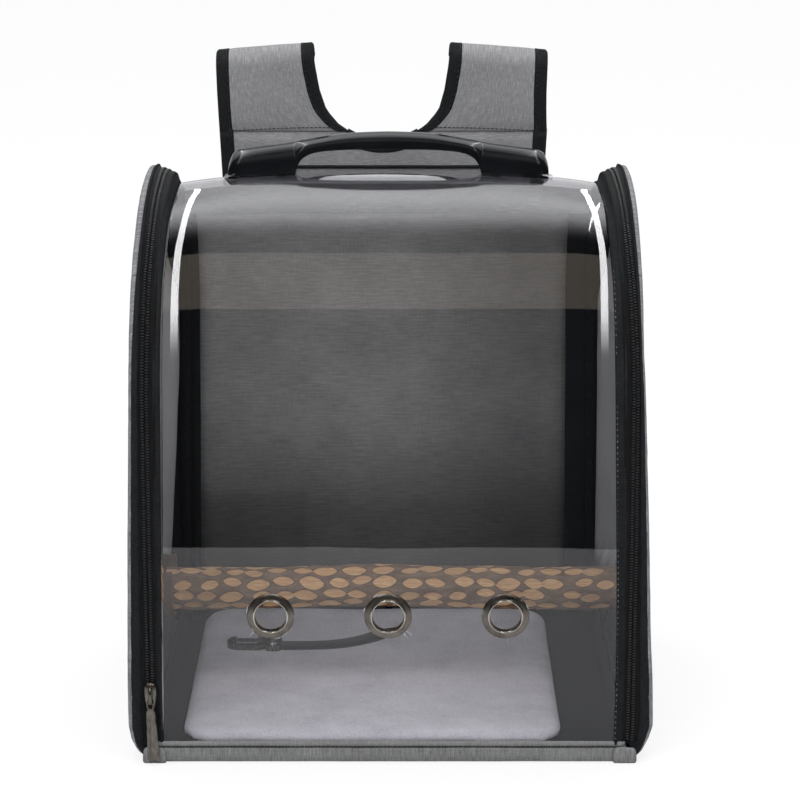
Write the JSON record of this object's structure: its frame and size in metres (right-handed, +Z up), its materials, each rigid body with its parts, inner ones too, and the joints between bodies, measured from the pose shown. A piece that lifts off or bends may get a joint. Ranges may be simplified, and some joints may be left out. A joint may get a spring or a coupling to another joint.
{
  "type": "bird travel carrier",
  "caption": "Backpack-style bird carrier with a bent clear window, zipped side doors, wooden perch, plush mat, carry handle and padded shoulder straps.",
  "frame": {"origin": "centre of the base's flat underside", "axes": "+Z up, -Y out of the clear window, +Y towards the wearer's back, +X to the right of a viewer who faces the window"},
  "size_m": [0.3483, 0.291, 0.4525],
  "materials": {
    "clear_sheet": "clear smoke-tinted bent plastic sheet",
    "gray_cloth": "woven heather cloth",
    "black_cloth": "plain woven cloth",
    "dark_lining": "plain cloth over board",
    "zip_nylon": "woven tape with moulded coil",
    "gunmetal": "plated, dark antique nickel",
    "plush": "short pile plush",
    "bare_wood": "natural branch, bark with cut facets",
    "gloss_black": "moulded, polished",
    "black_plastic": "moulded, fine texture",
    "webbing": "woven polyester webbing",
    "steel": "zinc plated",
    "brass": "turned"
  },
  "bodies": {
    "carrier": {"back_pad": "black_cloth", "back_panel": "gray_cloth", "base_board": "dark_lining", "base_tray": "gray_cloth", "carry_handle": "gloss_black", "clear_window": "clear_sheet", "corner_tabs": "gray_cloth", "eyelet_flanges": "gunmetal", "eyelet_washers": "gunmetal", "floor_mat": "plush", "gate_pin": "steel", "gusset_left": "black_cloth", "gusset_right": "black_cloth", "handle_plates": "black_plastic", "handle_screws": "steel", "hinge_strip_left": "black_cloth", "hinge_strip_right": "black_cloth", "ladder_lock_left": "black_plastic", "ladder_lock_right": "black_plastic", "rear_binding": "black_cloth", "shoulder_strap_left": "gray_cloth", "shoulder_strap_right": "gray_cloth", "strap_webbing_left": "webbing", "strap_webbing_right": "webbing", "strap_yoke": "gray_cloth", "tether_hook": "black_plastic", "tether_patch": "webbing", "tether_strap": "webbing", "webbing_anchors": "gray_cloth", "window_arch": "clear_sheet", "zipper_left_body": "zip_nylon", "zipper_right_body": "zip_nylon"},
    "door_left": {"door_left_panel": "gray_cloth", "door_left_lining": "gray_cloth", "door_left_gusset": "black_cloth", "zipper_left_door": "zip_nylon", "perch_cradle": "black_plastic", "cradle_rivets": "steel"},
    "door_right": {"door_right_panel": "gray_cloth", "door_right_lining": "gray_cloth", "door_right_gusset": "black_cloth", "zipper_right_door": "zip_nylon", "perch": "bare_wood", "perch_insert": "brass", "perch_washer_inner": "steel", "perch_washer_outer": "steel"},
    "slider_left": {"zip_slider_left": "gunmetal"},
    "slider_right": {"zip_slider_right": "gunmetal"},
    "pull_left": {"zip_pull_left": "gunmetal"},
    "pull_right": {"zip_pull_right": "gunmetal"},
    "perch_screw_body": {"perch_screw": "black_plastic"},
    "gate": {"hook_gate": "black_plastic"}
  },
  "joints": [
    {"name": "door_left_hinge", "type": "hinge", "parent": "carrier", "child": "door_left", "pos_m": [-0.172, 0, 0.003], "axis": [0, -1, 0], "range_deg": [0, 85]},
    {"name": "door_right_hinge", "type": "hinge", "parent": "carrier", "child": "door_right", "pos_m": [0.172, 0, 0.003], "axis": [0, 1, 0], "range_deg": [0, 85]},
    {"name": "slider_left_travel", "type": "slide", "parent": "carrier", "child": "slider_left", "axis": [0, 0, 1], "range_m": [0, 0.19]},
    {"name": "slider_right_travel", "type": "slide", "parent": "carrier", "child": "slider_right", "axis": [0, 0, 1], "range_m": [0, 0.19]},
    {"name": "pull_left_swing", "type": "hinge", "parent": "slider_left", "child": "pull_left", "pos_m": [-0.16, -0.1332, 0.0462], "axis": [-1, 0, 0], "range_deg": [0, 100]},
    {"name": "pull_right_swing", "type": "hinge", "parent": "slider_right", "child": "pull_right", "pos_m": [0.16, 0.1332, 0.0462], "axis": [1, 0, 0], "range_deg": [0, 100]},
    {"name": "perch_screw_turn", "type": "hinge", "parent": "door_right", "child": "perch_screw_body", "pos_m": [0.172, 0, 0.08], "axis": [1, 0, 0], "continuous": true},
    {"name": "hook_gate_swing", "type": "hinge", "parent": "carrier", "child": "gate", "pos_m": [-0.09554, 0.04866, 0.0202], "axis": [0, 0, 1], "range_deg": [0, 30]}
  ]
}
